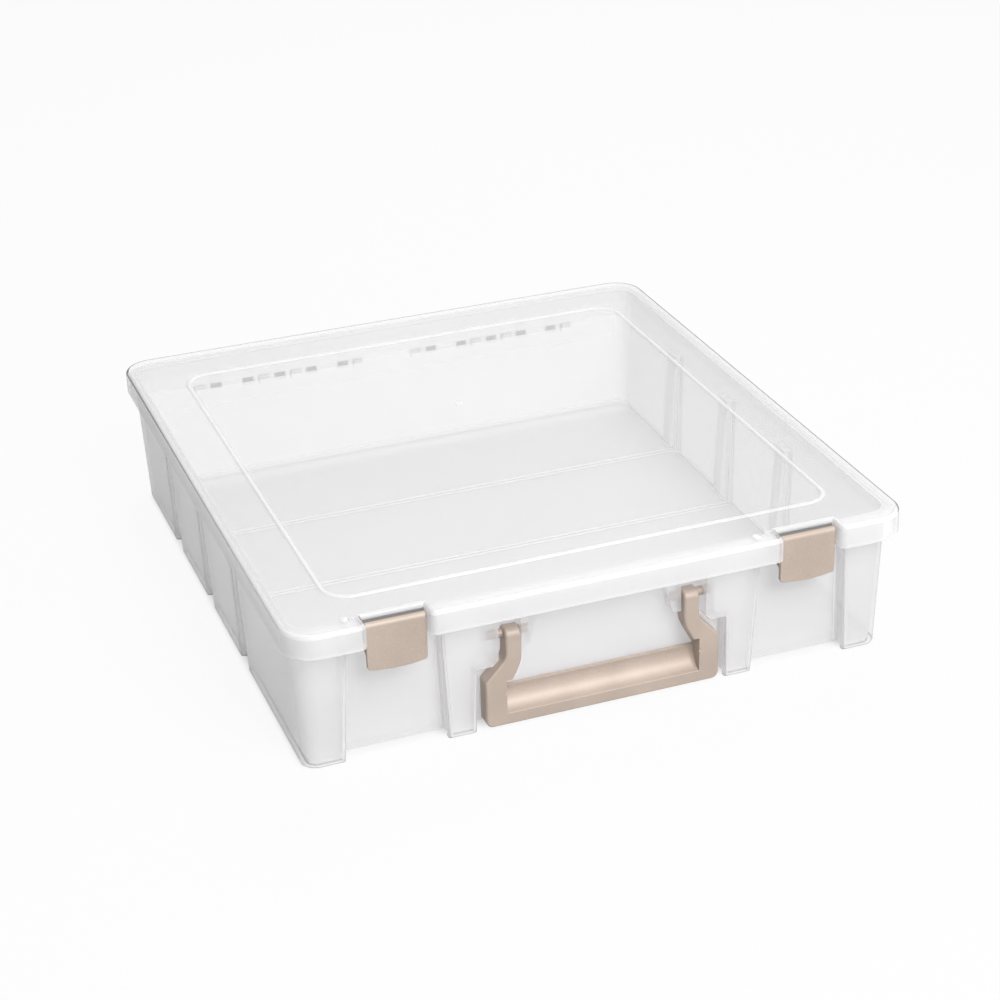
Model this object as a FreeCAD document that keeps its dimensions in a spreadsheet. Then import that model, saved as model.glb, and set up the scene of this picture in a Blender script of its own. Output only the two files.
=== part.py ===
"""Clear moulded craft storage case: tub, hinged lid, two snap latches, a carrying handle and two hinge rods.

The case stands on the table at height zero, with its middle at the origin. X runs along the front,
the front faces -Y, and Z is up.
"""
import FreeCAD, Part
import os
import re

import Sketcher

document = FreeCAD.newDocument("storage_case")

# Driving dimensions, in millimetres and degrees
SIZES = {
    # Closed case, over everything
    "case_width": 355.6,
    "case_depth": 387.35,
    "case_height": 88.9,
    # Lid shell
    "lid_wall": 2.0,
    "lid_corner_radius": 18.0,
    "lid_edge_round": 2.2,
    "skirt_height": 14.9,
    # Raised bead on the lid, measured in from the lid's edges, and the mark of the moulding gate
    "bead_height": 0.8,
    "bead_width": 3.0,
    "bead_chamfer": 0.7,
    "bead_side_inset": 30.3,
    "bead_front_inset": 31.2,
    "bead_back_inset": 39.2,
    "bead_corner_radius": 16.0,
    "gate_radius": 2.2,
    "gate_height": 0.5,
    "gate_back": 45.0,
    # Tub walls
    "base_wall": 2.2,
    "floor_thickness": 2.4,
    "foot_height": 2.0,
    "foot_rim": 3.5,
    "draft_angle": 2.2,
    "base_corner_radius": 9.0,
    "side_inset": 4.6,
    "front_inset": 11.7,
    "back_inset": 6.4,
    # Rim flange under the lid
    "seat_gap": 0.3,
    "flange_thickness": 2.0,
    "rim_clearance": 1.0,
    # Plain band round the top of the tub, which reaches below the lid's skirt; flutes and recesses end there
    "band_drop": 5.0,
    # Flutes in the side walls
    "flute_width": 15.8,
    "flute_depth": 3.6,
    "flute_pitch": 78.2,
    "flute_middle": 20.5,
    # Low ribs across the floor
    "rib_width": 2.5,
    "rib_height": 2.2,
    "rib_pitch": 86.0,
    "rib_middle": 6.0,
    # Recesses in the front wall
    "recess_depth": 9.2,
    "latch_recess_width": 57.6,
    "handle_side_gap": 4.7,
    "neck_side_gap": 4.1,
    "socket_rise": 9.5,
    "socket_chamfer": 3.0,
    "socket_wall": 5.5,
    # Notches of the lid and catches of the tub
    "notch_depth": 12.2,
    "notch_return": 4.0,
    "notch_clearance": 1.2,
    "catch_height": 3.5,
    # Latches
    "latch_side_inset": 59.5,
    "latch_width": 33.0,
    "latch_side_gap": 0.5,
    "latch_thickness": 2.6,
    "latch_drop": 24.5,
    "latch_corner": 2.0,
    "latch_bow": 1.6,
    "latch_top_gap": 3.6,
    "latch_barrel_radius": 2.8,
    "latch_barrel_gap": 0.4,
    "latch_pin_radius": 1.5,
    "hook_height": 3.0,
    "hook_nose": 1.2,
    "hook_gap": 0.35,
    # Handle
    "handle_half": 68.5,
    "handle_bottom": 2.2,
    "handle_thickness": 10.5,
    "handle_back_gap": 1.2,
    "handle_corner": 4.0,
    "handle_shoulder": 2.5,
    "handle_bend": 8.0,
    "handle_edge_chamfer": 0.9,
    "arm_width": 12.0,
    "shoulder_level": 30.0,
    "neck_inset": 21.1,
    "neck_width": 9.0,
    "neck_rise": 13.0,
    "neck_sweep": 20.0,
    "neck_sweep_drop": 3.0,
    "neck_reach": 4.0,
    "neck_round": 4.5,
    "neck_back_round": 3.0,
    "grip_drop": 7.5,
    "grip_lip": 7.2,
    "grip_wall": 2.5,
    "cove_radius": 10.5,
    # Pivot of the handle
    "pivot_level": 56.0,
    "pivot_back": 1.6,
    "pivot_room": 13.0,
    "trunnion_radius": 2.5,
    "trunnion_in_socket": 4.5,
    "ear_width": 4.6,
    "ear_gap": 0.8,
    "ear_bottom": 48.0,
    "ear_flare": 6.0,
    # Hinge
    "hinge_drop": 11.0,
    "knuckle_radius": 3.0,
    "hinge_pin_radius": 1.5,
    "hinge_pin_stop": 1.5,
    "strap_first": 31.0,
    "strap_pitch": 21.65,
    "strap_width": 7.6,
    "hinge_ear_width": 8.0,
    # Running clearance of every pin in its hole
    "pin_clearance": 0.06,
}
STRAPS = 5
# Gaps of each row of straps that hold an ear of the tub, counted from the middle of the case
EAR_GAPS = (0, 2, 3, STRAPS)
FLUTES = 3
FLOOR_RIBS = 3
SIDES = {"left": -1, "right": 1}
# How far a cutting shape runs past the material that it cuts
OVERRUN = 2.0

sheet = document.addObject("Spreadsheet::Sheet", "Sizes")
for row, (alias, size) in enumerate(SIZES.items(), start=1):
    sheet.set(f"A{row}", alias)
    sheet.set(f"B{row}", str(size))
    sheet.setAlias(f"B{row}", alias)
document.recompute()


def formula(text):
    """A formula in the sheet's own words, with each size traced to its cell."""
    return re.sub(r"[a-z_]+", lambda word: f"Sizes.{word[0]}" if word[0] in SIZES else word[0], str(text))


def number(text):
    return float(sheet.evalExpression(formula(text)))


def bind(feature, **formulas):
    """Tie properties to formulas; x, y and z stand for the feature's place."""
    for name, text in formulas.items():
        place = f"Placement.Base.{name}" if name in ("x", "y", "z") else name
        feature.setExpression(place, formula(text))
    return feature


# Faces and levels that several pieces share. Distances to the front count as positive towards -Y.
half_width = "(case_width / 2)"
half_depth = "(case_depth / 2)"
lid_top = "(case_height - bead_height)"
lid_under = f"({lid_top} - lid_wall)"
skirt_bottom = "(case_height - skirt_height)"
base_height = f"({lid_under} - seat_gap)"
floor_top = "(foot_height + floor_thickness)"
slope = "tan(draft_angle)"
base_side = f"({half_width} - side_inset - {base_height} * {slope})"
base_front = f"({half_depth} - front_inset - {base_height} * {slope})"
base_back = f"({half_depth} - back_inset - {base_height} * {slope})"
band_bottom = f"({skirt_bottom} - band_drop)"
band_front = f"({base_front} + {band_bottom} * {slope})"
recess_panel = f"({base_front} - recess_depth)"
notch_half = "(latch_width / 2 + latch_side_gap)"
notch_back = f"({half_depth} - notch_depth)"
catch_top = f"({band_bottom} + catch_height)"
latch_offset = f"({half_width} - latch_side_inset)"
latch_axis_front = f"({notch_back} + latch_barrel_gap + latch_barrel_radius)"
latch_axis_level = "(case_height - latch_top_gap - latch_barrel_radius)"
latch_bottom = f"({latch_axis_level} - latch_drop)"
handle_back = f"({recess_panel} + handle_back_gap)"
handle_front = f"({handle_back} + handle_thickness)"
pivot_front = f"({handle_back} + handle_thickness / 2 - pivot_back)"
neck_inner = "(handle_half - neck_inset)"
neck_outer = f"({neck_inner} + neck_width)"
neck_bend = "(shoulder_level + neck_rise)"
grip_top = "(shoulder_level - grip_drop)"
handle_recess_half = "(handle_half + handle_side_gap)"
socket_half = f"({neck_outer} + neck_side_gap)"
socket_level = "(shoulder_level + socket_rise)"
socket_ceiling = "(pivot_level + pivot_room)"
ear_outer = f"({neck_inner} - ear_gap)"
ear_inner = f"({ear_outer} - ear_width)"
trunnion_end = f"({socket_half} + trunnion_in_socket)"
hinge_back = f"({half_depth} - knuckle_radius)"
hinge_level = f"({skirt_bottom} - hinge_drop)"
hinge_bore = "(hinge_pin_radius + pin_clearance)"
hinge_ear_first = "(strap_first - strap_pitch / 2)"
hinge_ear_last = f"({hinge_ear_first} + {EAR_GAPS[-1]} * strap_pitch)"
hinge_pin_start = f"({hinge_ear_first} - hinge_ear_width / 2 + hinge_pin_stop)"
hinge_pin_length = f"({hinge_ear_last} + hinge_ear_width / 2 - {hinge_pin_start})"


def spread(middle, pitch, count):
    """Formulas of evenly spaced places about a middle."""
    return [f"({middle} + {index - (count - 1) / 2} * {pitch})" for index in range(count)]


# Outlines in sketches

SHARP = None


def add_polygon(sketch, corners, bow=None):
    """Closed outline of straight sides, with each corner held by two formulas; the first may bow down."""
    first = sketch.GeometryCount
    points = [FreeCAD.Vector(number(across), number(up), 0) for across, up in corners]
    count = len(points)
    for index in range(count):
        start, end = points[index], points[(index + 1) % count]
        if bow and index == 0:
            lowest = (start + end) * 0.5 - FreeCAD.Vector(0, number(bow), 0)
            sketch.addGeometry(Part.ArcOfCircle(start, lowest, end))
        else:
            sketch.addGeometry(Part.LineSegment(start, end))
    for index in range(count):
        following = first + (index + 1) % count
        sketch.addConstraint(Sketcher.Constraint("Coincident", first + index, 2, following, 1))
    for index, corner in enumerate(corners):
        for kind, text in zip(("DistanceX", "DistanceY"), corner):
            place = Sketcher.Constraint(kind, -1, 1, first + index, 1, number(text))
            bind(sketch, **{f"Constraints[{sketch.addConstraint(place)}]": text})
    if bow:
        radius = f"((({corners[1][0]}) - ({corners[0][0]})) ^ 2 / (8 * {bow}) + {bow} / 2)"
        curve = Sketcher.Constraint("Radius", first, number(radius))
        bind(sketch, **{f"Constraints[{sketch.addConstraint(curve)}]": radius})
    return sketch


def add_rectangle(sketch, left, right, front, back):
    return add_polygon(sketch, [(left, front), (right, front), (right, back), (left, back)])


def add_rounded_outline(sketch, corners):
    """Closed outline of level and upright sides. A corner is (across, up, radius), and SHARP has no arc."""
    points = [FreeCAD.Vector(number(across), number(up), 0) for across, up, radius in corners]
    radii = [number(radius or 0) for across, up, radius in corners]
    count = len(points)
    ahead = [(points[(index + 1) % count] - points[index]).normalize() for index in range(count)]
    arc_starts = [points[index] - ahead[index - 1] * radii[index] for index in range(count)]
    arc_ends = [points[index] + ahead[index] * radii[index] for index in range(count)]
    lines = []
    arcs = []
    for index in range(count):
        line = Part.LineSegment(arc_ends[index], arc_starts[(index + 1) % count])
        lines.append(sketch.addGeometry(line))
        if corners[index][2] is SHARP:
            arcs.append(SHARP)
            continue
        centre = arc_starts[index] + ahead[index] * radii[index]
        crown = centre + (points[index] - centre).normalize() * radii[index]
        arcs.append(sketch.addGeometry(Part.ArcOfCircle(arc_starts[index], crown, arc_ends[index])))
    for index, arc in enumerate(arcs):
        if arc is SHARP:
            sketch.addConstraint(Sketcher.Constraint("Coincident", lines[index - 1], 2, lines[index], 1))
            continue
        begins_here = sketch.getPoint(arc, 1).distanceToPoint(arc_starts[index]) < radii[index] / 2
        near, far = (1, 2) if begins_here else (2, 1)
        sketch.addConstraint(Sketcher.Constraint("Tangent", lines[index - 1], 2, arc, near))
        sketch.addConstraint(Sketcher.Constraint("Tangent", arc, far, lines[index], 1))
    for index, (across, up, radius) in enumerate(corners):
        level = abs(ahead[index].x) > abs(ahead[index].y)
        sketch.addConstraint(Sketcher.Constraint("Horizontal" if level else "Vertical", lines[index]))
        kind, text = ("DistanceY", up) if level else ("DistanceX", across)
        place = Sketcher.Constraint(kind, -1, 1, lines[index], 1, number(text))
        bind(sketch, **{f"Constraints[{sketch.addConstraint(place)}]": text})
        if radius is not SHARP:
            curve = Sketcher.Constraint("Radius", arcs[index], number(radius))
            bind(sketch, **{f"Constraints[{sketch.addConstraint(curve)}]": radius})
    return sketch


def add_rounded_rectangle(sketch, left, right, front, back, radius):
    corners = [(left, front), (right, front), (right, back), (left, back)]
    return add_rounded_outline(sketch, [(across, up, radius) for across, up in corners])


# Plain shapes of the tub


def level_sketch(name, level):
    sketch = document.addObject("Sketcher::SketchObject", name)
    return bind(sketch, z=level)


def front_sketch(name, distance):
    """Sketch that faces the front: across is X, up is Z, and it is extruded towards -Y."""
    sketch = document.addObject("Sketcher::SketchObject", name)
    sketch.Placement = FreeCAD.Placement(FreeCAD.Vector(), FreeCAD.Rotation(FreeCAD.Vector(1, 0, 0), 90))
    return bind(sketch, y=f"-{distance}")


def extrusion(name, sketch, length, taper="0"):
    solid = document.addObject("Part::Extrusion", name)
    solid.Base = sketch
    solid.DirMode = "Normal"
    solid.Solid = True
    return bind(solid, LengthFwd=length, TaperAngle=taper)


def box(name, across, along, up):
    """Box between pairs of formulas on X, Y and Z."""
    solid = document.addObject("Part::Box", name)
    lengths = [f"({high}) - ({low})" for low, high in (across, along, up)]
    bind(solid, Length=lengths[0], Width=lengths[1], Height=lengths[2])
    return bind(solid, x=across[0], y=along[0], z=up[0])


def lay_along_x(feature):
    feature.Placement = FreeCAD.Placement(FreeCAD.Vector(), FreeCAD.Rotation(FreeCAD.Vector(0, 1, 0), 90))
    return feature


def rod(name, radius, start, length, along, up):
    solid = lay_along_x(document.addObject("Part::Cylinder", name))
    return bind(solid, Radius=radius, Height=length, x=start, y=along, z=up)


def fuse(name, solids):
    joined = document.addObject("Part::MultiFuse", name)
    joined.Shapes = solids
    joined.Refine = True
    return joined


def cut(name, solid, tools):
    result = document.addObject("Part::Cut", name)
    result.Base = solid
    result.Tool = fuse(f"{name}_tools", tools) if len(tools) > 1 else tools[0]
    result.Refine = True
    return result


def span_from_middle(side, near, far):
    """Low and high X of a stretch that lies between two distances from the middle, on one side."""
    return (near, far) if side > 0 else (f"-{far}", f"-{near}")


def latch_middle(side):
    return f"({side} * {latch_offset})"


# Tub: one drafted moulding, made as its outside less its recesses, less the core that forms the inside


def recess_shapes(name, wall):
    """Everything that is set into the tub's outside, grown by a wall for the core to keep clear of."""
    shapes = []
    recess_height = f"{band_bottom} + {wall} + {OVERRUN}"
    flutes = level_sketch(f"{name}_flute_outlines", -OVERRUN)
    for side in SIDES.values():
        depth = f"({base_side} - flute_depth - {wall})"
        across = span_from_middle(side, depth, f"({base_side} + {5 * OVERRUN})")
        for middle in spread("flute_middle", "flute_pitch", FLUTES):
            reach = f"(flute_width / 2 + {wall})"
            add_rectangle(flutes, across[0], across[1], f"({middle} - {reach})", f"({middle} + {reach})")
    shapes.append(extrusion(f"{name}_flutes", flutes, recess_height, "-draft_angle"))
    hollows = level_sketch(f"{name}_latch_recess_outlines", -OVERRUN)
    for side in SIDES.values():
        reach = f"(latch_recess_width / 2 + {wall})"
        left = f"({latch_middle(side)} - {reach})"
        right = f"({latch_middle(side)} + {reach})"
        add_rectangle(hollows, left, right, f"(-{base_front} - {5 * OVERRUN})", f"(-{recess_panel} + {wall})")
    shapes.append(extrusion(f"{name}_latch_recesses", hollows, recess_height, "-draft_angle"))
    for word, side in SIDES.items():
        reach = f"({notch_half} + lid_wall + notch_clearance + {wall})"
        across = (f"({latch_middle(side)} - {reach})", f"({latch_middle(side)} + {reach})")
        along = (f"(-{half_depth} - {OVERRUN})", f"(-{notch_back} + lid_wall + notch_clearance + {wall})")
        up = (f"({catch_top} - {wall})", f"({base_height} + {OVERRUN})")
        shapes.append(box(f"{name}_notch_room_{word}", across, along, up))
    return shapes


def handle_recess(name, panel, lower_half, upper_half, step, chamfer, top):
    """Stepped recess for the handle: wide round the grip, narrow between the two sockets."""
    right = [(lower_half, f"-{OVERRUN}"), (lower_half, step)]
    right += [(f"({upper_half} + {chamfer})", step), (upper_half, f"({step} + {chamfer})"), (upper_half, top)]
    left = [(f"-{across}", up) for across, up in reversed(right)]
    outline = add_polygon(front_sketch(f"{name}_outline", panel), right + left)
    return extrusion(name, outline, f"{half_depth} - {panel}")


def handle_ear(word, side):
    """Inner cheek of a handle socket, hung from the recess's ceiling and widening upwards."""
    near, far = ear_inner, ear_outer
    root = f"({socket_ceiling} + base_wall / 2)"
    corners = [(far, "ear_bottom"), (far, root), (f"({near} - ear_flare)", root), (near, "ear_bottom")]
    outline = front_sketch(f"ear_outline_{word}", f"({recess_panel} - base_wall / 2)")
    add_polygon(outline, [(f"({side} * {across})", up) for across, up in corners])
    reach = f"{pivot_front} + neck_reach - {recess_panel} + base_wall / 2"
    return extrusion(f"handle_ear_{word}", outline, reach)


outside = extrusion(
    "tub_outside",
    add_rounded_rectangle(
        level_sketch("footprint", "0"),
        f"-{base_side}", base_side, f"-{base_front}", base_back, "base_corner_radius",
    ),
    base_height, "draft_angle",
)
flange_side = f"({half_width} - lid_wall - rim_clearance)"
flange_end = f"({half_depth} - lid_wall - rim_clearance)"
flange = extrusion(
    "rim_flange",
    add_rounded_rectangle(
        level_sketch("flange_outline", f"{base_height} - flange_thickness"),
        f"-{flange_side}", flange_side, f"-{flange_end}", flange_end,
        "lid_corner_radius - lid_wall - rim_clearance",
    ),
    "flange_thickness",
)
core_inset = f"({floor_top} * {slope} - base_wall)"
cavity = extrusion(
    "cavity",
    add_rounded_rectangle(
        level_sketch("floor_outline", floor_top),
        f"-({base_side} + {core_inset})", f"{base_side} + {core_inset}",
        f"-({base_front} + {core_inset})", f"{base_back} + {core_inset}",
        "base_corner_radius - base_wall / 2",
    ),
    f"{base_height} - {floor_top} + {OVERRUN}", "draft_angle",
)
socket_recess = handle_recess(
    "handle_recess", recess_panel, handle_recess_half, socket_half, socket_level, "socket_chamfer",
    socket_ceiling,
)
socket_core = handle_recess(
    "handle_recess_core", f"({recess_panel} - base_wall)", f"({handle_recess_half} + base_wall)",
    f"({socket_half} + socket_wall)", f"({socket_level} + base_wall)", "socket_chamfer",
    f"({socket_ceiling} + base_wall)",
)
underside = extrusion(
    "underside_hollow",
    add_rounded_rectangle(
        level_sketch("underside_outline", -OVERRUN),
        f"-({base_side} - foot_rim)", f"{base_side} - foot_rim",
        f"-({base_front} - foot_rim)", f"{base_back} - foot_rim",
        "base_corner_radius - foot_rim",
    ),
    f"foot_height + {OVERRUN}",
)
core = cut("core", cavity, recess_shapes("core", "base_wall") + [socket_core])
blank = fuse("tub_blank", [outside, flange])
shell = cut("tub_shell", blank, recess_shapes("outer", "0") + [socket_recess, underside, core])

additions = [shell]
rib_half = f"({base_side} - flute_depth - base_wall / 2)"
for index, middle in enumerate(spread("rib_middle", "rib_pitch", FLOOR_RIBS), start=1):
    along = (f"({middle} - rib_width / 2)", f"({middle} + rib_width / 2)")
    up = (f"({floor_top} - floor_thickness / 2)", f"({floor_top} + rib_height)")
    additions.append(box(f"floor_rib_{index}", (f"-{rib_half}", rib_half), along, up))
hinge_root = f"({base_back} + {hinge_level} * {slope} - base_wall / 2)"
pin_holes = []
for word, side in SIDES.items():
    additions.append(handle_ear(word, side))
    for gap in EAR_GAPS:
        middle = f"({side} * ({hinge_ear_first} + {gap} * strap_pitch))"
        across = (f"({middle} - hinge_ear_width / 2)", f"({middle} + hinge_ear_width / 2)")
        up = (f"({hinge_level} - knuckle_radius)", f"({hinge_level} + knuckle_radius)")
        label = f"{word}_{gap}"
        additions.append(box(f"hinge_ear_{label}", across, (hinge_root, hinge_back), up))
        knuckle = (across[0], "hinge_ear_width", hinge_back, hinge_level)
        additions.append(rod(f"hinge_knuckle_{label}", "knuckle_radius", *knuckle))
    low, high = span_from_middle(side, f"({ear_inner} - {OVERRUN})", f"({trunnion_end} + pin_clearance)")
    trunnion_axis = (f"-{pivot_front}", "pivot_level")
    trunnion_bore = "trunnion_radius + pin_clearance"
    pin_holes.append(rod(f"trunnion_hole_{word}", trunnion_bore, low, f"{high} - ({low})", *trunnion_axis))
    low, high = span_from_middle(
        side, f"({hinge_pin_start} - pin_clearance)", f"({hinge_pin_start} + {hinge_pin_length} + {OVERRUN})"
    )
    pin_holes.append(rod(f"hinge_hole_{word}", hinge_bore, low, f"{high} - ({low})", hinge_back, hinge_level))
base_tray = cut("base_tray", fuse("tub_with_fittings", additions), pin_holes)

# Hinge rods, pushed into the knuckles from their outer ends
hinge_pins = {}
for word, side in SIDES.items():
    ends = span_from_middle(side, hinge_pin_start, f"({hinge_pin_start} + {hinge_pin_length})")
    hinge_pins[word] = rod(
        f"hinge_pin_{word}", "hinge_pin_radius", ends[0], hinge_pin_length, hinge_back, hinge_level
    )


# Features of the pieces that are built up in one body


def origin_feature(body, role):
    return next(feature for feature in body.Origin.OriginFeatures if feature.Role == role)


def body_sketch(body, name, role, offset):
    sketch = body.newObject("Sketcher::SketchObject", name)
    sketch.AttachmentSupport = (origin_feature(body, role), [""])
    sketch.MapMode = "FlatFace"
    return bind(sketch, **{"AttachmentOffset.Base.z": offset})


def pad(body, name, sketch, length):
    feature = body.newObject("PartDesign::Pad", name)
    feature.Profile = sketch
    return bind(feature, Length=length)


def body_rod(body, kind, name, radius, start, length, along, up):
    feature = lay_along_x(body.newObject(f"PartDesign::{kind}Cylinder", name))
    return bind(feature, Radius=radius, Height=length, x=start, y=along, z=up)


def dress_edges(body, kind, name, feature, size, chosen):
    """Fillet or chamfer the edges that satisfy a test."""
    document.recompute()
    edges = [f"Edge{index}" for index, edge in enumerate(feature.Shape.Edges, start=1) if chosen(edge)]
    dressed = body.newObject(f"PartDesign::{kind}", name)
    dressed.Base = (feature, edges)
    return bind(dressed, **{"Radius" if kind == "Fillet" else "Size": size})


def fillet(body, name, feature, radius, chosen):
    return dress_edges(body, "Fillet", name, feature, radius, chosen)


NEAR = 1e-4


def edge_along(edge, axis):
    """True where an edge is straight and runs along one axis."""
    if edge.Curve.TypeId != "Part::GeomLine":
        return False
    return abs(abs(getattr(edge.Curve.Direction, axis)) - 1) < NEAR


def edge_at(edge, **places):
    """True where the whole edge lies at the given coordinates."""
    points = [vertex.Point for vertex in edge.Vertexes]
    return all(abs(getattr(point, axis) - place) < NEAR for point in points for axis, place in places.items())


# Lid: a shallow pan upside down, notched at the front for the latches


def lid_outline(sketch, inset):
    """Outline of the lid seen from above, moved inwards by an inset; it dips in round each latch."""
    corner = f"(lid_corner_radius - {inset})"
    edge_x = f"({half_width} - {inset})"
    edge_y = f"({half_depth} - {inset})"
    corners = [(f"-{edge_x}", f"-{edge_y}", corner)]
    for side in SIDES.values():
        left = f"({latch_middle(side)} - {notch_half} - {inset})"
        right = f"({latch_middle(side)} + {notch_half} + {inset})"
        mouth = (f"-{edge_y}", f"(notch_return - {inset})")
        inner = (f"(-{notch_back} + {inset})", SHARP)
        corners += [(left, *mouth), (left, *inner), (right, *inner), (right, *mouth)]
    corners += [(edge_x, f"-{edge_y}", corner), (edge_x, edge_y, corner), (f"-{edge_x}", edge_y, corner)]
    return add_rounded_outline(sketch, corners)


lid = document.addObject("PartDesign::Body", "lid")
lid_block = pad(
    lid, "lid_block", lid_outline(body_sketch(lid, "lid_outline", "XY_Plane", skirt_bottom), "0"),
    f"{lid_top} - {skirt_bottom}",
)
fillet(lid, "lid_top_edge", lid_block, "lid_edge_round", lambda edge: edge_at(edge, z=number(lid_top)))
lid_hollow = lid.newObject("PartDesign::Pocket", "lid_hollow")
lid_hollow.Profile = lid_outline(body_sketch(lid, "lid_hollow_outline", "XY_Plane", skirt_bottom), "lid_wall")
lid_hollow.Reversed = True
bind(lid_hollow, Length=f"{lid_under} - {skirt_bottom}")

bead_outline = body_sketch(lid, "bead_outline", "XY_Plane", lid_top)
for inset in ("0", "bead_width"):
    bead_side = f"({half_width} - bead_side_inset - {inset})"
    bead_front = f"({half_depth} - bead_front_inset - {inset})"
    bead_back = f"({half_depth} - bead_back_inset - {inset})"
    add_rounded_rectangle(
        bead_outline, f"-{bead_side}", bead_side, f"-{bead_front}", bead_back, f"bead_corner_radius - {inset}"
    )
bead = pad(lid, "bead", bead_outline, "bead_height")
dress_edges(
    lid, "Chamfer", "bead_edges", bead, "bead_chamfer", lambda edge: edge_at(edge, z=number("case_height"))
)
gate_mark = lid.newObject("PartDesign::AdditiveCylinder", "gate_mark")
bind(gate_mark, Radius="gate_radius", Height="gate_height", y="gate_back", z=lid_top)


def add_strap_profile(sketch):
    """Hinge strap from the side: a plate down from the skirt that ends in a knuckle bored for the rod."""
    axis = FreeCAD.Vector(number(hinge_back), number(hinge_level), 0)
    radius = number("knuckle_radius")
    top = number(strap_top)
    knuckle_top = axis + FreeCAD.Vector(0, radius, 0)
    knuckle_back = axis + FreeCAD.Vector(radius, 0, 0)
    knuckle_front = axis - FreeCAD.Vector(radius, 0, 0)
    plate_back = FreeCAD.Vector(knuckle_back.x, top, 0)
    plate_front = FreeCAD.Vector(axis.x, top, 0)
    back = sketch.addGeometry(Part.LineSegment(plate_back, knuckle_back))
    knuckle = sketch.addGeometry(Part.ArcOfCircle(knuckle_top, knuckle_front, knuckle_back))
    front = sketch.addGeometry(Part.LineSegment(knuckle_top, plate_front))
    head = sketch.addGeometry(Part.LineSegment(plate_front, plate_back))
    bore = sketch.addGeometry(Part.Circle(axis, FreeCAD.Vector(0, 0, 1), number(hinge_bore)))
    sketch.addConstraint(
        [
            Sketcher.Constraint("Tangent", back, 2, knuckle, 2),
            Sketcher.Constraint("Coincident", knuckle, 1, front, 1),
            Sketcher.Constraint("Coincident", front, 2, head, 1),
            Sketcher.Constraint("Coincident", head, 2, back, 1),
            Sketcher.Constraint("Coincident", bore, 3, knuckle, 3),
            Sketcher.Constraint("Vertical", back),
            Sketcher.Constraint("Vertical", front),
            Sketcher.Constraint("Horizontal", head),
            Sketcher.Constraint("Vertical", knuckle, 3, front, 1),
        ]
    )
    sizes = [
        (Sketcher.Constraint("DistanceX", -1, 1, knuckle, 3, axis.x), hinge_back),
        (Sketcher.Constraint("DistanceY", -1, 1, knuckle, 3, axis.y), hinge_level),
        (Sketcher.Constraint("DistanceY", -1, 1, head, 1, top), strap_top),
        (Sketcher.Constraint("Radius", knuckle, radius), "knuckle_radius"),
        (Sketcher.Constraint("Radius", bore, number(hinge_bore)), hinge_bore),
    ]
    for constraint, text in sizes:
        bind(sketch, **{f"Constraints[{sketch.addConstraint(constraint)}]": text})
    return sketch


strap_top = f"({skirt_bottom} + lid_wall)"
for word, side in SIDES.items():
    strap_start = f"{side} * strap_first - strap_width / 2"
    strap_outline = add_strap_profile(body_sketch(lid, f"strap_outline_{word}", "YZ_Plane", strap_start))
    strap = pad(lid, f"hinge_strap_{word}", strap_outline, "strap_width")
    row = lid.newObject("PartDesign::LinearPattern", f"strap_row_{word}")
    row.Originals = [strap]
    row.Direction = (origin_feature(lid, "X_Axis"), [""])
    row.Reversed = side < 0
    row.Occurrences = STRAPS
    bind(row, Length=f"{STRAPS - 1} * strap_pitch")
    lid.Tip = row
for word, side in SIDES.items():
    hole_half = f"({notch_half} + lid_wall + {OVERRUN})"
    body_rod(
        lid, "Subtractive", f"latch_hole_{word}", "latch_pin_radius + pin_clearance",
        f"{latch_middle(side)} - {hole_half}", f"2 * {hole_half}", f"-{latch_axis_front}", latch_axis_level,
    )


# Latches: a plate hung from a barrel, with a hook behind it that snaps under the tub's band


def make_latch(word, side):
    latch = document.addObject("PartDesign::Body", f"latch_{word}")
    left = f"({latch_middle(side)} - latch_width / 2)"
    right = f"({latch_middle(side)} + latch_width / 2)"
    rear = f"({latch_axis_front} + latch_barrel_radius - latch_thickness)"
    outline = body_sketch(latch, f"latch_outline_{word}", "XZ_Plane", rear)
    corners = [(left, latch_bottom), (right, latch_bottom)]
    corners += [(right, latch_axis_level), (left, latch_axis_level)]
    plate = pad(latch, f"latch_plate_{word}", add_polygon(outline, corners, "latch_bow"), "latch_thickness")
    fillet(
        latch, f"latch_corners_{word}", plate, "latch_corner",
        lambda edge: edge_along(edge, "y") and edge_at(edge, z=number(latch_bottom)),
    )
    hook_root = f"-({rear} + latch_thickness / 2)"
    hook_tip = f"-({band_front} + hook_gap)"
    hook_top = f"({band_bottom} - hook_gap)"
    hook_bottom = f"({hook_top} - hook_height)"
    hook_profile = body_sketch(latch, f"hook_profile_{word}", "YZ_Plane", left)
    add_polygon(
        hook_profile,
        [
            (hook_root, hook_bottom), (f"-{rear}", hook_bottom), (hook_tip, f"({hook_top} - hook_nose)"),
            (hook_tip, hook_top), (hook_root, hook_top),
        ],
    )
    pad(latch, f"latch_hook_{word}", hook_profile, "latch_width")
    axis = (f"-{latch_axis_front}", latch_axis_level)
    body_rod(latch, "Additive", f"latch_barrel_{word}", "latch_barrel_radius", left, "latch_width", *axis)
    pin_half = f"({notch_half} + lid_wall)"
    body_rod(
        latch, "Additive", f"latch_pin_{word}", "latch_pin_radius", f"{latch_middle(side)} - {pin_half}",
        f"2 * {pin_half}", *axis,
    )
    return latch


latches = {word: make_latch(word, side) for word, side in SIDES.items()}

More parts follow.
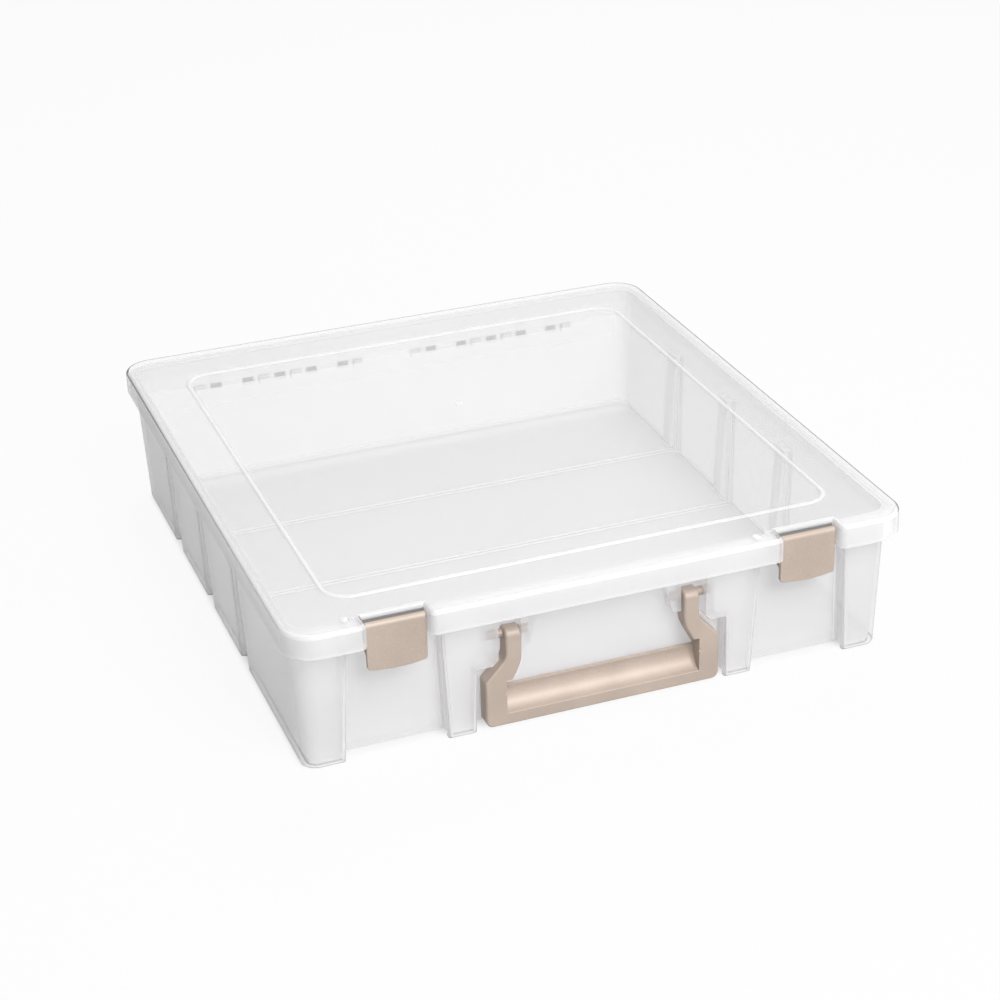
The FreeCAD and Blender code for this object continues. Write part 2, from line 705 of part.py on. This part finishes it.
# Handle: a flat U whose arms draw in to two necks; the grip is scooped out along its front
handle = document.addObject("PartDesign::Body", "handle")
arm_inner = "(handle_half - arm_width)"
neck_top = "(pivot_level + neck_reach)"
sweep_level = f"({neck_bend} - neck_sweep_drop)"
right_arm = [
    ("handle_half", "handle_bottom"), ("handle_half", "shoulder_level"), (neck_outer, neck_bend),
    (neck_outer, neck_top), (neck_inner, neck_top), (neck_inner, sweep_level), (arm_inner, grip_top),
]
left_arm = [(f"-{across}", up) for across, up in reversed(right_arm)]
handle_outline = body_sketch(handle, "handle_outline", "XZ_Plane", handle_back)
handle_blank = pad(
    handle, "handle_blank", add_polygon(handle_outline, right_arm + left_arm), "handle_thickness"
)
handle_shoulders = fillet(
    handle, "handle_shoulders", handle_blank, "handle_shoulder",
    lambda edge: edge_along(edge, "y") and edge_at(edge, z=number("shoulder_level")),
)
handle_bends = fillet(
    handle, "handle_bends", handle_shoulders, "handle_bend",
    lambda edge: edge_along(edge, "y") and edge_at(edge, z=number(neck_bend)),
)
handle_sweeps = fillet(
    handle, "neck_sweeps", handle_bends, "neck_sweep",
    lambda edge: edge_along(edge, "y") and edge_at(edge, z=number(sweep_level)),
)
handle_corners = fillet(
    handle, "handle_corners", handle_sweeps, "handle_corner",
    lambda edge: edge_along(edge, "y") and edge_at(edge, z=number("handle_bottom")),
)
handle_necks = fillet(
    handle, "neck_ends", handle_corners, "neck_round",
    lambda edge: edge_along(edge, "x") and edge_at(edge, y=-number(handle_front), z=number(neck_top)),
)
handle_neck_backs = fillet(
    handle, "neck_backs", handle_necks, "neck_back_round",
    lambda edge: edge_along(edge, "x") and edge_at(edge, y=-number(handle_back), z=number(neck_top)),
)
dress_edges(
    handle, "Chamfer", "handle_edges", handle_neck_backs, "handle_edge_chamfer",
    lambda edge: edge_at(edge, y=-number(handle_front)),
)
cove_front = f"({handle_back} + grip_wall + cove_radius)"
cove_level = f"(handle_bottom + grip_lip + sqrt(cove_radius ^ 2 - ({cove_front} - {handle_front}) ^ 2))"
body_rod(
    handle, "Subtractive", "grip_cove", "cove_radius", f"-{arm_inner}", f"2 * {arm_inner}", f"-{cove_front}",
    cove_level,
)
for word, side in SIDES.items():
    ends = span_from_middle(side, ear_inner, trunnion_end)
    body_rod(
        handle, "Additive", f"trunnion_{word}", "trunnion_radius", ends[0], f"{ends[1]} - ({ends[0]})",
        f"-{pivot_front}", "pivot_level",
    )

document.recompute()

# Write one file for each piece
pieces = [base_tray, lid, latches["left"], latches["right"], handle, hinge_pins["left"], hinge_pins["right"]]
failed = [thing.Name for thing in document.Objects if {"Invalid", "Error"} & set(thing.State)]
if failed:
    raise RuntimeError(f"features that failed: {failed}")
os.makedirs("parts", exist_ok=True)
for piece in pieces:
    shape = piece.Shape
    if shape.isNull() or not shape.isValid() or len(shape.Solids) != 1:
        raise RuntimeError(f"{piece.Label} is not one sound solid")
    shape.Solids[0].exportStep(f"parts/{piece.Label}.step")
    print(f"{piece.Label}: {shape.Volume / 1000:.2f} cm3, {shape.BoundBox}")
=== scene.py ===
from math import radians

import bmesh
import bpy
from mathutils import Matrix, Vector


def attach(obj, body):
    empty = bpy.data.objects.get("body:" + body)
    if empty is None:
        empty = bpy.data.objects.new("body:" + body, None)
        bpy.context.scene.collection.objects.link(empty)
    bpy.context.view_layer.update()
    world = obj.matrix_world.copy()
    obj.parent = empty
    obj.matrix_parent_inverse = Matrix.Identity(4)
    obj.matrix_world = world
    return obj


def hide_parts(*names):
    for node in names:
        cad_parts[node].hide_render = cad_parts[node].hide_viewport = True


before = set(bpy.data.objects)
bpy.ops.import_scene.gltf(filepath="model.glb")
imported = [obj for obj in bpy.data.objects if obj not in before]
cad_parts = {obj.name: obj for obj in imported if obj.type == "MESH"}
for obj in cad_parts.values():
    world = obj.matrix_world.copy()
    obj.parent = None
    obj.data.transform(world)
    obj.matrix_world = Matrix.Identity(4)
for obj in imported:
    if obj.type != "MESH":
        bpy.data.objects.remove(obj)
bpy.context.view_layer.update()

# Tub
# One thin-walled moulding in milky clear polypropylene, with drafted walls, side flutes, front recesses
# for the latches and the handle, and a rim flange. Its upright corners and its edges come out of the
# mould rounded, and look whiter than the walls because the plastic is thicker there along the view.


class Wire:
    """A socket in a material's node tree. Arithmetic on it adds Math nodes."""

    def __init__(self, tree, socket=None):
        self.tree = tree
        self.socket = socket

    def node(self, kind, settings=None, inputs=None, output=0):
        made = self.tree.nodes.new(kind)
        for name, value in (settings or {}).items():
            setattr(made, name, value)
        for name, value in (inputs or {}).items():
            if isinstance(value, Wire):
                self.tree.links.new(value.socket, made.inputs[name])
            else:
                made.inputs[name].default_value = value
        return Wire(self.tree, made.outputs[output] if made.outputs else None)

    def math(self, operation, first, second):
        return self.node("ShaderNodeMath", {"operation": operation}, {0: first, 1: second})

    def axis(self, name):
        """The X, Y or Z of this place."""
        return self.node("ShaderNodeSeparateXYZ", inputs={0: self}, output=name)

    def magnitude(self):
        return self.math("ABSOLUTE", self, 0.0)

    def most(self, other):
        return self.math("MAXIMUM", self, other)

    def after(self, step):
        """Rises smoothly from 0 to 1 over a step, which is given by its start and its end."""
        settings = {"interpolation_type": "SMOOTHSTEP"}
        return self.node(
            "ShaderNodeMapRange", settings, {"Value": self, "From Min": step[0], "From Max": step[1]}
        )

    def before(self, step):
        return 1.0 - self.after(step)

    def within(self, rise, fall):
        return self.after(rise) * self.before(fall)

    def mixed_colour(self, factor, first, second):
        inputs = {"Factor": factor, "A": first, "B": second}
        return self.node("ShaderNodeMix", {"data_type": "RGBA"}, inputs, "Result")

    def mixed_shader(self, factor, first, second):
        return self.node("ShaderNodeMixShader", inputs={0: factor, 1: first, 2: second})

    def as_surface(self):
        self.node("ShaderNodeOutputMaterial", inputs={"Surface": self})

    def __add__(self, other):
        return self.math("ADD", self, other)

    def __radd__(self, other):
        return self.math("ADD", other, self)

    def __rsub__(self, other):
        return self.math("SUBTRACT", other, self)

    def __mul__(self, other):
        return self.math("MULTIPLY", self, other)

    def __rmul__(self, other):
        return self.math("MULTIPLY", other, self)


def new_material(name):
    material = bpy.data.materials.new(name)
    material.use_nodes = True
    material.node_tree.nodes.clear()
    return material, Wire(material.node_tree)


def solid_of(node):
    """A copy of a solid's mesh with its facets joined, ready to be marked where it is rounded."""
    weld_distance = 1e-6
    flat_angle = radians(0.5)
    shape = bmesh.new()
    shape.from_mesh(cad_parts[node].data)
    bmesh.ops.remove_doubles(shape, verts=shape.verts, dist=weld_distance)
    bmesh.ops.dissolve_limit(shape, angle_limit=flat_angle, verts=shape.verts, edges=shape.edges)
    shape.faces.layers.float.new("on_edge")
    return shape


def mirrored(low, high):
    """A room on the right, given by its low and high corner, and its mirror image on the left."""
    return [(low, high), ((-high[0], *low[1:]), (-low[0], *high[1:]))]


def in_a_room(edge, rooms):
    """True where an edge reaches into one of the rooms."""
    for low, high in rooms:
        for end in edge.verts:
            if all(low[axis] < end.co[axis] < high[axis] for axis in range(3)):
                return True
    return False


def sharp_edges(shape, rooms=()):
    """Sharp edges, but for those in rooms whose fits leave no space for a rounding."""
    sharp_angle = radians(28)
    sharp = [edge for edge in shape.edges if edge.is_manifold and edge.calc_face_angle() > sharp_angle]
    return [edge for edge in sharp if not in_a_room(edge, rooms)]


def whiten(shape, faces):
    """Marks faces where the plastic looks whiter."""
    on_edge = shape.faces.layers.float["on_edge"]
    for face in faces:
        face[on_edge] = 1.0


def round_off(shape, edges, radius, segments):
    rounded = bmesh.ops.bevel(
        shape,
        geom=edges,
        offset=radius,
        offset_type="OFFSET",
        affect="EDGES",
        segments=segments,
        profile=0.5,
        material=-1,
        clamp_overlap=False,
    )
    whiten(shape, rounded["faces"])


def moulding(shape, name, material):
    """A smooth piece made from a finished shape."""
    crease_angle = radians(40)
    for face in shape.faces:
        face.smooth = True
    for edge in shape.edges:
        edge.smooth = not edge.is_manifold or edge.calc_face_angle() < crease_angle
    mesh = bpy.data.meshes.new(name)
    shape.to_mesh(mesh)
    shape.free()
    mesh.materials.append(material)
    piece = bpy.data.objects.new(name, mesh)
    bpy.context.scene.collection.objects.link(piece)
    shading = piece.modifiers.new("even_shading", "WEIGHTED_NORMAL")
    shading.keep_sharp = True
    return piece


# The milky body of the plastic, its gloss and the light that glows through it
# The tub's tone is darker than the lid's as painted shade, where the lid and its skirt shade the tub
shaded_tub_tone = (0.78, 0.775, 0.785, 1.0)
lid_tone = (0.89, 0.885, 0.89, 1.0)
glow_tone = (0.87, 0.865, 0.87, 1.0)
glow_share = 0.42
polypropylene_ior = 1.49
clear_plastic, clear = new_material("clear_polypropylene")
place = clear.node("ShaderNodeTexCoord", output="Object")
height = place.axis("Z")
depth = place.axis("Y")
off_middle = place.axis("X").magnitude()
flow = clear.node("ShaderNodeTexNoise", inputs={"Vector": place, "Scale": 9.0, "Detail": 3.0})
grain = clear.node("ShaderNodeTexNoise", inputs={"Vector": place, "Scale": 70.0, "Detail": 2.0})
ripple = clear.node("ShaderNodeBump", inputs={"Strength": 0.02, "Distance": 0.0002, "Height": grain})
on_lid = clear.node("ShaderNodeAttribute", {"attribute_name": "of_lid"}, output="Fac")
milky_gloss = clear.node(
    "ShaderNodeBsdfPrincipled",
    inputs={
        "Base Color": clear.mixed_colour(on_lid, shaded_tub_tone, lid_tone),
        "Roughness": 0.2 + flow * 0.1,
        "IOR": polypropylene_ior,
        "Normal": ripple,
    },
)
milky_glow = clear.node("ShaderNodeBsdfTranslucent", inputs={"Color": glow_tone})
milk = clear.mixed_shader(glow_share, milky_gloss, milky_glow)

# How milky it is: more on edges, on the bead and along the front rim, less at the hinge
bead_side = (0.08815, 0.0883)
hinge_front = (0.182, 0.186)
hinge_top = (0.066, 0.07)
rim_foot = (0.0735, 0.0745)
rim_top = (0.0858, 0.0864)
rim_back = (-0.186, -0.178)
face_on_haze = 0.17
oblique_haze = 0.62
extra_tub_haze = 0.22
flow_haze = 0.02
edge_haze = 0.45
rim_haze = 0.22
cleared_at_hinge = 0.6
slant = clear.node("ShaderNodeLayerWeight", inputs={"Blend": 0.5}, output="Facing")
rounding = clear.node("ShaderNodeAttribute", {"attribute_name": "on_edge"}, output="Fac")
thick = rounding.most(height.after(bead_side))
hinge = depth.after(hinge_front) * height.before(hinge_top)
front_rim = height.within(rim_foot, rim_top) * depth.before(rim_back)
oblique = slant * slant
lid_haze = face_on_haze + oblique_haze * oblique * oblique
tub_haze = extra_tub_haze * (1.0 - on_lid)
full_haze = lid_haze + tub_haze + flow_haze * flow + edge_haze * thick + rim_haze * front_rim
haze = full_haze * (1.0 - cleared_at_hinge * hinge)
see_through = clear.node("ShaderNodeBsdfTransparent")
clear_body = clear.mixed_shader(haze, see_through, milk)

# Painted shade, a dark grey mixed into the plastic: walls seen edge-on, the outline of the lid, the bottom
# edges of the feet and the gaps behind the latches
wall_slant = (0.75, 0.98)
outline_slant = (0.54, 0.66)
outline_foot = (0.0866, 0.0869)
foot_edge = (0.0004, 0.0014)
notch_inner = (0.1008, 0.1016)
notch_outer = (0.135, 0.1358)
notch_wall_front = (-0.1822, -0.1818)
notch_wall_back = (-0.1808, -0.1804)
notch_foot = (0.083, 0.084)
notch_top = (0.0848, 0.0855)
wall_grey = 0.4
outline_grey = 0.9
foot_grey = 0.6
gap_grey = 0.9
shade_tone = (0.2, 0.2, 0.21, 1.0)
# Painted shade on walls seen edge-on, and a painted dark outline on the rounded top edge of the lid
edge_on = wall_grey * slant.after(wall_slant) * (1.0 - hinge)
lid_outline = outline_grey * rounding * slant.after(outline_slant) * height.after(outline_foot)
# Painted contact shadow along the rounded bottom edges of the feet
foot_shade_line = foot_grey * rounding * height.before(foot_edge)
# Painted shade on the lower part of each notch's back wall, just above the latch
notch_width = off_middle.within(notch_inner, notch_outer)
notch_wall = depth.within(notch_wall_front, notch_wall_back)
latch_gap_shade = gap_grey * notch_width * notch_wall * height.within(notch_foot, notch_top)
shaded = edge_on.most(lid_outline).most(foot_shade_line.most(latch_gap_shade))
shade = clear.node("ShaderNodeBsdfDiffuse", inputs={"Color": shade_tone})
clear.mixed_shader(shaded, clear_body, shade).as_surface()

# The hinge and the handle's sockets stay as sharp as the solids, which their fits need
hinge_room = ((-0.2, 0.180, 0.05), (0.2, 0.2, 0.0765))
sockets = mirrored((0.03, -0.182, 0.048), (0.07, -0.168, 0.075))
corner_radius = 0.0016
edge_radius = 0.0007
shortest_corner = 0.03
upright_share = 0.9
tub_shape = solid_of("base_tray")
corners = []
for edge in sharp_edges(tub_shape, [hinge_room]):
    rise = abs(edge.verts[0].co.z - edge.verts[1].co.z)
    if rise > shortest_corner and rise > upright_share * edge.calc_length():
        corners.append(edge)
round_off(tub_shape, corners, corner_radius, 4)
round_off(tub_shape, sharp_edges(tub_shape, [hinge_room, *sockets]), edge_radius, 2)

# The sides of the flutes are seen edge-on through the wall, and are as white as edges
flute_facing = 0.9
flute_inside = 0.1683
flute_reach = 0.12
flute_sides = []
for face in tub_shape.faces:
    centre = face.calc_center_median()
    faces_along = abs(face.normal.y) > flute_facing
    if faces_along and abs(centre.x) > flute_inside and abs(centre.y) < flute_reach:
        flute_sides.append(face)
whiten(tub_shape, flute_sides)
tub = moulding(tub_shape, "tub", clear_plastic)
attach(tub, "base")
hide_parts("base_tray")

# Hinge rods
# Two rods drawn from natural plastic, pushed through the knuckles of the tub and the lid from their
# outer ends. They are left as drawn, with fine lines along their length.
rod_tone = (0.92, 0.92, 0.92, 1.0)
drawn_out = (20.0, 900.0, 900.0)
rod_plastic, rod = new_material("drawn_rod")
rod_place = rod.node("ShaderNodeTexCoord", output="Object")
along_rod = rod.node("ShaderNodeMapping", inputs={"Vector": rod_place, "Scale": drawn_out})
drawn = rod.node("ShaderNodeTexNoise", inputs={"Vector": along_rod, "Scale": 1.0})
rod_gloss = rod.node(
    "ShaderNodeBsdfPrincipled",
    inputs={"Base Color": rod_tone, "Roughness": 0.25 + drawn * 0.2, "IOR": polypropylene_ior},
)
rod_clear = rod.node("ShaderNodeBsdfTransparent")
rod_haze = 0.05 + drawn * 0.15
rod.mixed_shader(rod_haze, rod_clear, rod_gloss).as_surface()
for side in ("left", "right"):
    hinge_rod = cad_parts[f"hinge_pin_{side}"]
    hinge_rod.data.materials.clear()
    hinge_rod.data.materials.append(rod_plastic)

# Lid
# One moulding in the same plastic: a shallow pan upside down, with a raised bead round its top,
# two notches for the latches, and hinge straps along its back skirt. Two low marks of the ejector
# pins show on its top beside the notches.
latch_pivots = mirrored((0.095, -0.19, 0.079), (0.142, -0.178, 0.0865))
lid_top = 0.0881
bead_room = ((-0.16, -0.17, lid_top - 0.0001), (0.16, 0.165, 0.09))
lid_edge_radius = 0.0005
lid_shape = solid_of("lid")
lid_rooms = [hinge_room, *latch_pivots, bead_room]
round_off(lid_shape, sharp_edges(lid_shape, lid_rooms), lid_edge_radius, 2)
shoulder_foot = 0.0855
steepest_rise = 0.05
flattest_rise = 0.98
shoulder = []
for face in lid_shape.faces:
    at_shoulder = shoulder_foot < face.calc_center_median().z < lid_top
    if at_shoulder and steepest_rise < face.normal.z < flattest_rise:
        shoulder.append(face)
whiten(lid_shape, shoulder)
mark_size = (0.0022, 0.0035, 0.0004)
left_mark = (-0.1445, -0.182, lid_top)
right_mark = (0.088, -0.185, lid_top)
for mark_place in (left_mark, right_mark):
    mark = bmesh.ops.create_uvsphere(lid_shape, u_segments=24, v_segments=12, radius=1.0)["verts"]
    bmesh.ops.scale(lid_shape, verts=mark, vec=mark_size)
    bmesh.ops.translate(lid_shape, verts=mark, vec=mark_place)
of_lid = lid_shape.faces.layers.float.new("of_lid")
for face in lid_shape.faces:
    face[of_lid] = 1.0
lid = moulding(lid_shape, "lid_cover", clear_plastic)
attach(lid, "lid")
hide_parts("lid")

# Latches
# Two snap latches in champagne pearl plastic, hung in the lid's notches on trunnions of their own.
# A hook behind each plate stands under the band of the tub. Their gaps are painted darker, as painted
# shade.
dark_pearl = (0.36, 0.29, 0.245, 1.0)
light_pearl = (0.44, 0.365, 0.312, 1.0)
# Painted shade: the top and back of each barrel under the notch, and the back of each plate and its hook,
# are darkened towards this tone
gap_shade_tone = (0.09, 0.075, 0.06, 1.0)
gap_shade_share = 0.85
barrel_top = (0.0836, 0.0846)
barrel_front = (-0.1856, -0.1849)
gap_foot = (0.0615, 0.063)
plate_back = (-0.1848, -0.1842)
pearl_plastic, pearl = new_material("champagne_pearl")
pearl_place = pearl.node("ShaderNodeTexCoord", output="Object")
flakes = pearl.node("ShaderNodeTexNoise", inputs={"Vector": pearl_place, "Scale": 2600.0, "Detail": 1.0})
swirl = pearl.node("ShaderNodeTexNoise", inputs={"Vector": pearl_place, "Scale": 40.0, "Detail": 3.0})
pearl_mix = pearl.node(
    "ShaderNodeMapRange", inputs={"Value": flakes * 0.6 + swirl * 0.4, "From Min": 0.35, "From Max": 0.65}
)
pearl_colour = pearl.mixed_colour(pearl_mix, dark_pearl, light_pearl)
over_barrel = pearl_place.axis("Z").after(barrel_top) * pearl_place.axis("Y").after(barrel_front)
behind_plate = pearl_place.axis("Z").after(gap_foot) * pearl_place.axis("Y").after(plate_back)
painted_gap_shade = gap_shade_share * over_barrel.most(behind_plate)
pearl_bump = pearl.node("ShaderNodeBump", inputs={"Strength": 0.05, "Distance": 0.0004, "Height": flakes})
pearl.node(
    "ShaderNodeBsdfPrincipled",
    inputs={
        "Base Color": pearl.mixed_colour(painted_gap_shade, pearl_colour, gap_shade_tone),
        "Metallic": 0.2,
        "Roughness": 0.5 + flakes * 0.12,
        "Normal": pearl_bump,
        "Coat Weight": 0.08,
        "Coat Roughness": 0.3,
    },
).as_surface()
latch_edge_radius = 0.0004
for side in ("left", "right"):
    latch_shape = solid_of(f"latch_{side}")
    round_off(latch_shape, sharp_edges(latch_shape), latch_edge_radius, 3)
    latch = moulding(latch_shape, f"snap_latch_{side}", pearl_plastic)
    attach(latch, f"latch_{side}")
    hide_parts(f"latch_{side}")

# Handle
# A flat U in the same pearl plastic, scooped along the front of its grip for the fingers.
# Its necks turn on trunnions between the tub's sockets and ears.
handle_edge_radius = 0.0003
handle_shape = solid_of("handle")
round_off(handle_shape, sharp_edges(handle_shape), handle_edge_radius, 2)
handle = moulding(handle_shape, "carrying_handle", pearl_plastic)
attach(handle, "handle")
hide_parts("handle")

# Studio
# A white table top that runs out of sight, a large soft box in front, a weak one overhead behind,
# and a long lens a little to the left.


def in_view(wires):
    """1 for rays that show the white room: to the camera, in a gloss, or through something clear."""
    to_camera = wires.node("ShaderNodeLightPath", output="Is Camera Ray")
    in_gloss = wires.node("ShaderNodeLightPath", output="Is Glossy Ray")
    through_clear = wires.node("ShaderNodeLightPath", output="Is Transmission Ray")
    return to_camera.most(in_gloss).most(through_clear)


def soft_box(name, place, aim, side, power):
    lamp = bpy.data.lights.new(name, "AREA")
    lamp.shape = "SQUARE"
    lamp.size = side
    lamp.energy = power
    holder = bpy.data.objects.new(name, lamp)
    holder.location = place
    holder.rotation_euler = (Vector(aim) - Vector(place)).to_track_quat("-Z", "Y").to_euler()
    bpy.context.scene.collection.objects.link(holder)


white_light = (1.0, 1.0, 1.0, 1.0)
matt_tone = (0.6, 0.6, 0.6, 1.0)
# The table glows less under the case: a painted shadow there, which also shows through the clear plastic
case_sides = (0.165, 0.173)
case_ends = (0.165, 0.178)
glow_in_painted_shadow = 0.42
extra_open_glow = 0.5
table_reach = 40.0
table_height = -0.0002
table_shape = bmesh.new()
bmesh.ops.create_grid(table_shape, x_segments=1, y_segments=1, size=table_reach)
bmesh.ops.translate(table_shape, verts=table_shape.verts, vec=(0, 0, table_height))
table_mesh = bpy.data.meshes.new("table_top")
table_shape.to_mesh(table_mesh)
table_shape.free()
table = bpy.data.objects.new("table_top", table_mesh)
bpy.context.scene.collection.objects.link(table)
table_white, white = new_material("table_white")
matt = white.node("ShaderNodeBsdfDiffuse", inputs={"Color": matt_tone})
glow = white.node("ShaderNodeEmission", inputs={"Color": white_light, "Strength": 1.0})
table_place = white.node("ShaderNodeTexCoord", output="Object")
beside_case = table_place.axis("X").magnitude().after(case_sides)
before_case = table_place.axis("Y").magnitude().after(case_ends)
uncovered = beside_case.most(before_case)
table_glow = in_view(white) * (glow_in_painted_shadow + extra_open_glow * uncovered)
white.mixed_shader(table_glow, matt, glow).as_surface()
table.data.materials.append(table_white)

room_light = 0.3
extra_light_in_view = 0.7
room = bpy.data.worlds.new("studio")
bpy.context.scene.world = room
room.use_nodes = True
room.node_tree.nodes.clear()
air = Wire(room.node_tree)
brightness = room_light + extra_light_in_view * in_view(air)
sky = air.node("ShaderNodeBackground", inputs={"Color": white_light, "Strength": brightness})
air.node("ShaderNodeOutputWorld", inputs={"Surface": sky})

soft_box("key_box", place=(0.3, -1.8, 1.7), aim=(0, 0, 0.04), side=1.3, power=74.0)
soft_box("overhead_box", place=(0.5, 0.9, 1.3), aim=(0, 0, 0), side=1.0, power=11.0)

camera_place = (-0.4180, -1.1789, 0.6716)
heading = radians(-19.86)
upward_tilt = radians(90 - 27.19)
lean = radians(-1.78)
camera_data = bpy.data.cameras.new("camera")
camera_data.sensor_width = 36.0
camera_data.lens = 83.45
camera_data.shift_y = 0.02
camera = bpy.data.objects.new("camera", camera_data)
turn = Matrix.Rotation(heading, 4, "Z")
tilt = Matrix.Rotation(upward_tilt, 4, "X")
roll = Matrix.Rotation(lean, 4, "Z")
camera.matrix_world = Matrix.Translation(camera_place) @ turn @ tilt @ roll
bpy.context.scene.collection.objects.link(camera)
bpy.context.scene.camera = camera
bpy.context.scene.view_settings.view_transform = "Standard"
